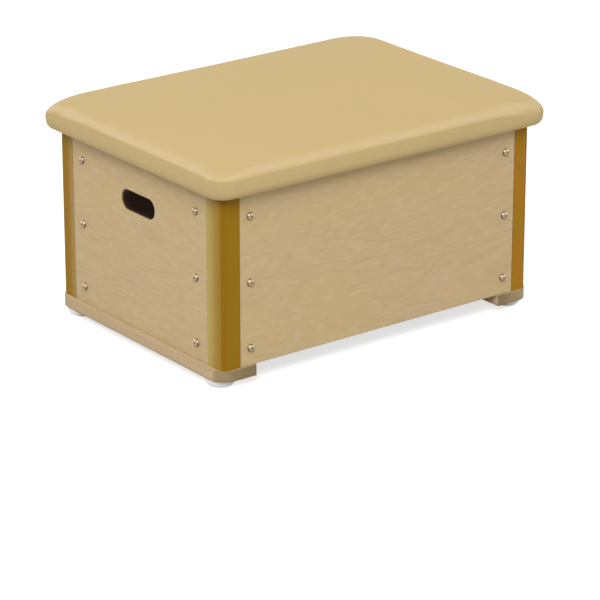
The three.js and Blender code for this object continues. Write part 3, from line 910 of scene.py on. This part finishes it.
def pad_levels(side_height, fullness):
    """The levels from the top's edge over the shoulder, down the side and round to the hem's inner edge."""
    levels = []
    for i in range(SHOULDER_STEPS + 1):
        angle = QUARTER * (1 - i / SHOULDER_STEPS)
        across = max(math.cos(angle), 0) ** (2 / fullness)
        up = math.sin(angle) ** (2 / fullness)
        inset = pad_shoulder * (1 - across)
        height = side_height + (pad_height - side_height) * up
        levels.append((inset, height, pad_corner_radius + pad_corner_growth_share * inset, pull_at(height)))
    for i in range(1, SIDE_STEPS + 1):
        height = side_height + (pad_bottom_rise - side_height) * i / SIDE_STEPS
        levels.append((0, height, pad_corner_radius, pull_at(height)))
    for i in range(1, EDGE_STEPS + 1):
        angle = QUARTER * i / EDGE_STEPS
        inset = pad_bottom_inset * (1 - math.cos(angle))
        levels.append((inset, pad_bottom_rise * (1 - math.sin(angle)), pad_corner_radius - inset, 0))
    for i in range(1, HEM_STEPS + 1):
        inset = pad_bottom_inset + (hem_width - pad_bottom_inset) * i / HEM_STEPS
        levels.append((inset, 0, pad_corner_radius - inset, 0))
    return levels


def softness():
    """How far each point of a ring takes the softer shoulder, from 0 to 1."""
    shares = []
    for k in range(4):
        here, next_one = k in soft_corners, (k + 1) % 4 in soft_corners
        shares += [1.0 if here else 0.0] * (CORNER_STEPS + 1)
        side = 2 * ((half_x if k % 2 == 0 else half_y) - pad_corner_radius)
        count = points_along(k)
        for i in range(1, count + 1):
            from_here = side * i / (count + 1)
            away = min(from_here if here else side, side - from_here if next_one else side)
            share = max(1 - away / soft_reach, 0)
            shares.append(share * share * (3 - 2 * share))
    return shares


def pad_rings():
    shares = softness()
    firm_levels = pad_levels(firm_side_height, firm_fullness)
    soft_levels = pad_levels(soft_side_height, soft_fullness)
    rings = []
    for firm, soft in zip(firm_levels, soft_levels):
        pairs = zip(level_ring(*firm), level_ring(*soft), shares)
        rings.append([one.lerp(two, share) for one, two, share in pairs])
    return rings


def crown_at(point, ring_top):
    """The top's height at a point, highest in the middle."""
    share_x = min(abs(point.x) / (half_x - pad_shoulder), 1)
    share_y = min(abs(point.y) / (half_y - pad_shoulder), 1)
    return ring_top + start_crown * (1 - share_x ** 2) * (1 - share_y ** 2)


def top_grid(bm, ring):
    """Fills the top inside its ring with an even grid of four-sided faces."""
    start = CORNER_STEPS // 2
    long_run = CORNER_STEPS + LONG_POINTS + 1
    short_run = CORNER_STEPS + SHORT_POINTS + 1

    def run(first, length):
        return [ring[(first + i) % len(ring)] for i in range(length + 1)]

    far = run(start, long_run)
    left = run(start + long_run, short_run)
    near = run(start + long_run + short_run, long_run)[::-1]
    right = run(start + 2 * long_run + short_run, short_run)[::-1]
    grid = []
    for j in range(short_run + 1):
        v = j / short_run
        row = []
        for i in range(long_run + 1):
            u = i / long_run
            if j == 0:
                row.append(far[i])
            elif j == short_run:
                row.append(near[i])
            elif i == 0:
                row.append(right[j])
            elif i == long_run:
                row.append(left[j])
            else:
                point = far[i].co * (1 - v) + near[i].co * v + right[j].co * (1 - u) + left[j].co * u
                far_edge = far[0].co * (1 - u) + far[-1].co * u
                near_edge = near[0].co * (1 - u) + near[-1].co * u
                point -= far_edge * (1 - v) + near_edge * v
                point.z = crown_at(point, far[0].co.z)
                row.append(bm.verts.new(point))
        grid.append(row)
    for j in range(short_run):
        for i in range(long_run):
            bm.faces.new((grid[j][i], grid[j][i + 1], grid[j + 1][i + 1], grid[j + 1][i]))


def pad_form():
    """The cover's outer face, closed below for the simulation, with its counts of levels and ring points."""
    bm = bmesh.new()
    rings = [[bm.verts.new(point) for point in ring] for ring in pad_rings()]
    for one, two in zip(rings, rings[1:]):
        skirt(bm, one, two)
    top_grid(bm, rings[0])
    bm.faces.new(rings[-1])
    bmesh.ops.recalc_face_normals(bm, faces=bm.faces)
    return bm, len(rings), len(rings[0])


def swell(mesh, held):
    """Cloth under a little pressure, held at its hem, so that the cover lies over its foam as cloth does."""
    piece = link("swelling", mesh)
    piece.vertex_groups.new(name=CLOTH["vertex_group_mass"]).add(held, 1.0, "REPLACE")
    modifier = piece.modifiers.new("cloth", "CLOTH")
    for key, value in CLOTH.items():
        setattr(modifier.settings, key, value)
    modifier.settings.effector_weights.gravity = 0
    modifier.collision_settings.use_collision = False
    scene = bpy.context.scene
    for step in range(1, swell_frames + 1):
        scene.frame_set(step)
    graph = bpy.context.evaluated_depsgraph_get()
    moved = [v.co.copy() for v in piece.evaluated_get(graph).data.vertices]
    scene.frame_set(1)
    bpy.data.objects.remove(piece)
    for vertex, there in zip(mesh.vertices, moved):
        step = there - vertex.co
        if step.length > most_swell:
            step *= most_swell / step.length
        vertex.co += step * swell_share


def fold_corners(bm, levels, ring_count):
    """Gathers the hem under each corner into pleats, deeper towards its inner edge."""
    bm.verts.ensure_lookup_table()
    for step in range(1, HEM_STEPS + 1):
        inward = step / HEM_STEPS
        ring = levels - 1 - HEM_STEPS + step
        start = 0
        for k in range(4):
            for i in range(CORNER_STEPS + 1):
                phase = i * pleats / CORNER_STEPS % 1
                bm.verts[ring * ring_count + start + i].co.z -= pleat_depth * inward * phase
            start += CORNER_STEPS + 1 + points_along(k)


def foam_form(mesh, levels, ring_count):
    """The foam: the cover's form, a cover's thickness smaller, flat where it lies on the board."""
    bm = bmesh.new()
    bm.from_mesh(mesh)
    bm.verts.ensure_lookup_table()
    bm.normal_update()
    inside = [v.co - v.normal * (cover_thickness + foam_clearance) for v in bm.verts]
    for vertex, place in zip(bm.verts, inside):
        vertex.co = place
    last = SHOULDER_STEPS + SIDE_STEPS - 1
    ring = [bm.verts[last * ring_count + i] for i in range(ring_count)]
    lower = [bm.verts[k] for k in range((last + 1) * ring_count, levels * ring_count)]
    bmesh.ops.delete(bm, geom=lower, context="VERTS")
    base_height = pad_low.z + board_top + foam_clearance
    base = [bm.verts.new((v.co.x, v.co.y, base_height)) for v in ring]
    skirt(bm, ring, base)
    bm.faces.new(base)
    bmesh.ops.recalc_face_normals(bm, faces=bm.faces)
    return bm


def make_pad():
    """The foam and its cover. The cover is open below, inside its hem."""
    bm, levels, ring_count = pad_form()
    mesh = mesh_from("pad", bm)
    held_level = SHOULDER_STEPS + SIDE_STEPS
    held = list(range(held_level * ring_count, levels * ring_count))
    swell(mesh, held)
    foam_bm = foam_form(mesh, levels, ring_count)
    foam_piece = new_piece("foam_block", foam_bm, foam_finish, ["foam_pad"])
    bm = bmesh.new()
    bm.from_mesh(mesh)
    bpy.data.meshes.remove(mesh)
    closing = [f for f in bm.faces if len(f.verts) > 4]
    bmesh.ops.delete(bm, geom=closing, context="FACES_ONLY")
    fold_corners(bm, levels, ring_count)
    cover = new_piece("cover_skin", bm, cover_finish, ["cover"], CLOTH_SHARP_ANGLE)
    cover.modifiers.new("smooth", "SUBSURF").levels = 1
    shell = cover.modifiers.new("thickness", "SOLIDIFY")
    shell.thickness = cover_thickness
    shell.offset = -1
    bake(cover)


make_pad()


# Staples that hold the hem to the board

staple_inset = 0.0185
staple_spacing = 0.042
staple_width = 0.0105
staple_wire = 0.0005
staple_leg = 0.0016
staple_bend = staple_wire * 1.5
staple_bend_share = 0.3
staple_wander = 0.003
staple_tilt = 0.12
pressed_in = staple_wire * 0.6
corner_staples = (0.17, 0.5, 0.83)
corner_pressed_in = pleat_depth * 0.7
WIRE_SIDES = 8


def wire(bm, points, radius):
    """A round wire along points, capped at both ends."""
    rings = []
    for k, point in enumerate(points):
        ahead = points[min(k + 1, len(points) - 1)] - points[max(k - 1, 0)]
        turn = ahead.to_track_quat("Z", "Y")
        around = [Vector((x, y, 0)) for x, y in circle(radius, WIRE_SIDES)]
        rings.append([bm.verts.new(point + turn @ offset) for offset in around])
    for one, two in zip(rings, rings[1:]):
        bridge(bm, one, two)
    bm.faces.new(rings[0][::-1])
    bm.faces.new(rings[-1])


def staple(bm, middle, along, dip):
    """A staple whose crown lies along a direction and whose legs go up into the board."""
    half = staple_width / 2
    near = staple_bend * staple_bend_share
    points = [(-half, staple_leg), (-half, staple_bend), (-half + near, near), (-half + staple_bend, 0)]
    points += [(-x, z) for x, z in reversed(points)]
    wire(bm, [middle + along * x + UP * (z - dip) for x, z in points], staple_wire)


def side_staples(bm, reach, level, along):
    """Two rows of staples along one axis, level metres either side of the middle, each slightly askew."""
    across = Vector((along.y, along.x, 0))
    count = round(2 * reach / staple_spacing)
    for k in range(count + 1):
        for sign in (-1, 1):
            wander = random.uniform(-staple_wander, staple_wander)
            tilt = Matrix.Rotation(random.uniform(-staple_tilt, staple_tilt), 3, "Z")
            middle = along * (-reach + 2 * reach * k / count + wander)
            middle += across * (sign * (level + wander / 3))
            staple(bm, middle + UP * pad_low.z, tilt @ along, pressed_in)


def hem_staples():
    bm = bmesh.new()
    side_staples(bm, half_x - pad_corner_radius, half_y - staple_inset, Vector((1, 0, 0)))
    side_staples(bm, half_y - pad_corner_radius, half_x - staple_inset, Vector((0, 1, 0)))
    radius = pad_corner_radius - staple_inset
    for sign_x, sign_y in QUADRANTS:
        middle_x = sign_x * (half_x - pad_corner_radius)
        middle_y = sign_y * (half_y - pad_corner_radius)
        for share in corner_staples:
            angle = QUARTER * share
            out = Vector((sign_x * math.cos(angle), sign_y * math.sin(angle), 0))
            place = Vector((middle_x, middle_y, pad_low.z)) + out * radius
            staple(bm, place, out.cross(UP), corner_pressed_in)
    bmesh.ops.recalc_face_normals(bm, faces=bm.faces)
    new_piece("hem_staples", bm, staple_finish, (), CLOTH_SHARP_ANGLE)


hem_staples()


# CAD nodes that are shown as they are, with a finish of their own

KEPT_NODES = {
    "front_panel": ply_long,
    "back_panel": ply_long,
    "top_board": ply_board,
    "front_cleat": cleat_long,
    "back_cleat": cleat_long,
    "left_end_cleat": runner_finish,
    "right_end_cleat": runner_finish,
}
for name, material in KEPT_NODES.items():
    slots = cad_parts[name].data.materials
    slots.clear()
    slots.append(material)


# Floor and light

WHITE = (1, 1, 1, 1)
floor_colour = (0.6, 0.6, 0.6, 1)
floor_glow = 0.7
floor_size = 40.0
FLOOR_SQUARES = 8
sky_light = 0.25
sky_seen = 1.0
body_middle = Vector((0, 0, 0.3))
lamp_distance = 12.0
lamp_width = 6.2


def plain_surface(name, colour, glow):
    """A surface that also glows by itself for the camera, so that it shows pale and keeps the shadow."""
    s = Shader(name)
    diffuse = s.add("ShaderNodeBsdfDiffuse", {"Color": colour}).outputs["BSDF"]
    strength = s.product(s.seen(), glow)
    emission = s.add("ShaderNodeEmission", {"Color": WHITE, "Strength": strength}).outputs["Emission"]
    both = s.add("ShaderNodeAddShader", {0: diffuse, 1: emission}).outputs["Shader"]
    s.add("ShaderNodeOutputMaterial", {"Surface": both})
    return s.material


def make_floor():
    bm = bmesh.new()
    bmesh.ops.create_grid(bm, x_segments=FLOOR_SQUARES, y_segments=FLOOR_SQUARES, size=floor_size / 2)
    mesh = mesh_from("floor", bm)
    mesh.materials.append(plain_surface("floor", floor_colour, floor_glow))
    link("floor", mesh)


def make_sky():
    """A white sky that lights the box less than it shows."""
    world = bpy.data.worlds.new("sky")
    bpy.context.scene.world = world
    nodes = Nodes(world)
    strength = nodes.span(nodes.seen(), 0.0, 1.0, sky_light, sky_seen)
    background = nodes.add("ShaderNodeBackground", {"Color": WHITE, "Strength": strength})
    nodes.add("ShaderNodeOutputWorld", {"Surface": background.outputs["Background"]})


def soft_lamp(name, azimuth, elevation, power):
    """A square lamp that faces the box. Azimuth turns from the front towards the left end."""
    light = bpy.data.lights.new(name, "AREA")
    light.shape = "SQUARE"
    light.size = lamp_width
    light.energy = power
    across = math.radians(azimuth)
    up = math.radians(elevation)
    way = Vector((-math.cos(up) * math.sin(across), -math.cos(up) * math.cos(across), math.sin(up)))
    lamp = link(name, light)
    lamp.location = body_middle + way * lamp_distance
    lamp.rotation_mode = "QUATERNION"
    lamp.rotation_quaternion = (-way).to_track_quat("-Z", "Y")


make_floor()
make_sky()
soft_lamp("front_lamp", azimuth=45, elevation=42, power=1180)
soft_lamp("top_lamp", azimuth=45, elevation=86, power=202)
soft_lamp("back_lamp", azimuth=172, elevation=18, power=460)
soft_lamp("right_lamp", azimuth=278, elevation=18, power=460)


# Camera, fitted to the photograph

image_width = 600
focal_pixels = 3240.0
sensor_width = 36.0
clip_end = 100.0
camera_place = (-3.8996, -5.1329, 2.4759)
camera_yaw = math.radians(37.318)
camera_pitch = math.radians(20.878)
camera_data = bpy.data.cameras.new("camera")
camera_data.sensor_width = sensor_width
camera_data.lens = focal_pixels * sensor_width / image_width
camera_data.clip_end = clip_end
camera = link("camera", camera_data)
camera.location = camera_place
camera.rotation_mode = "XYZ"
camera.rotation_euler = (QUARTER - camera_pitch, 0, -camera_yaw)
bpy.context.scene.camera = camera

bpy.context.scene.view_settings.view_transform = "Standard"
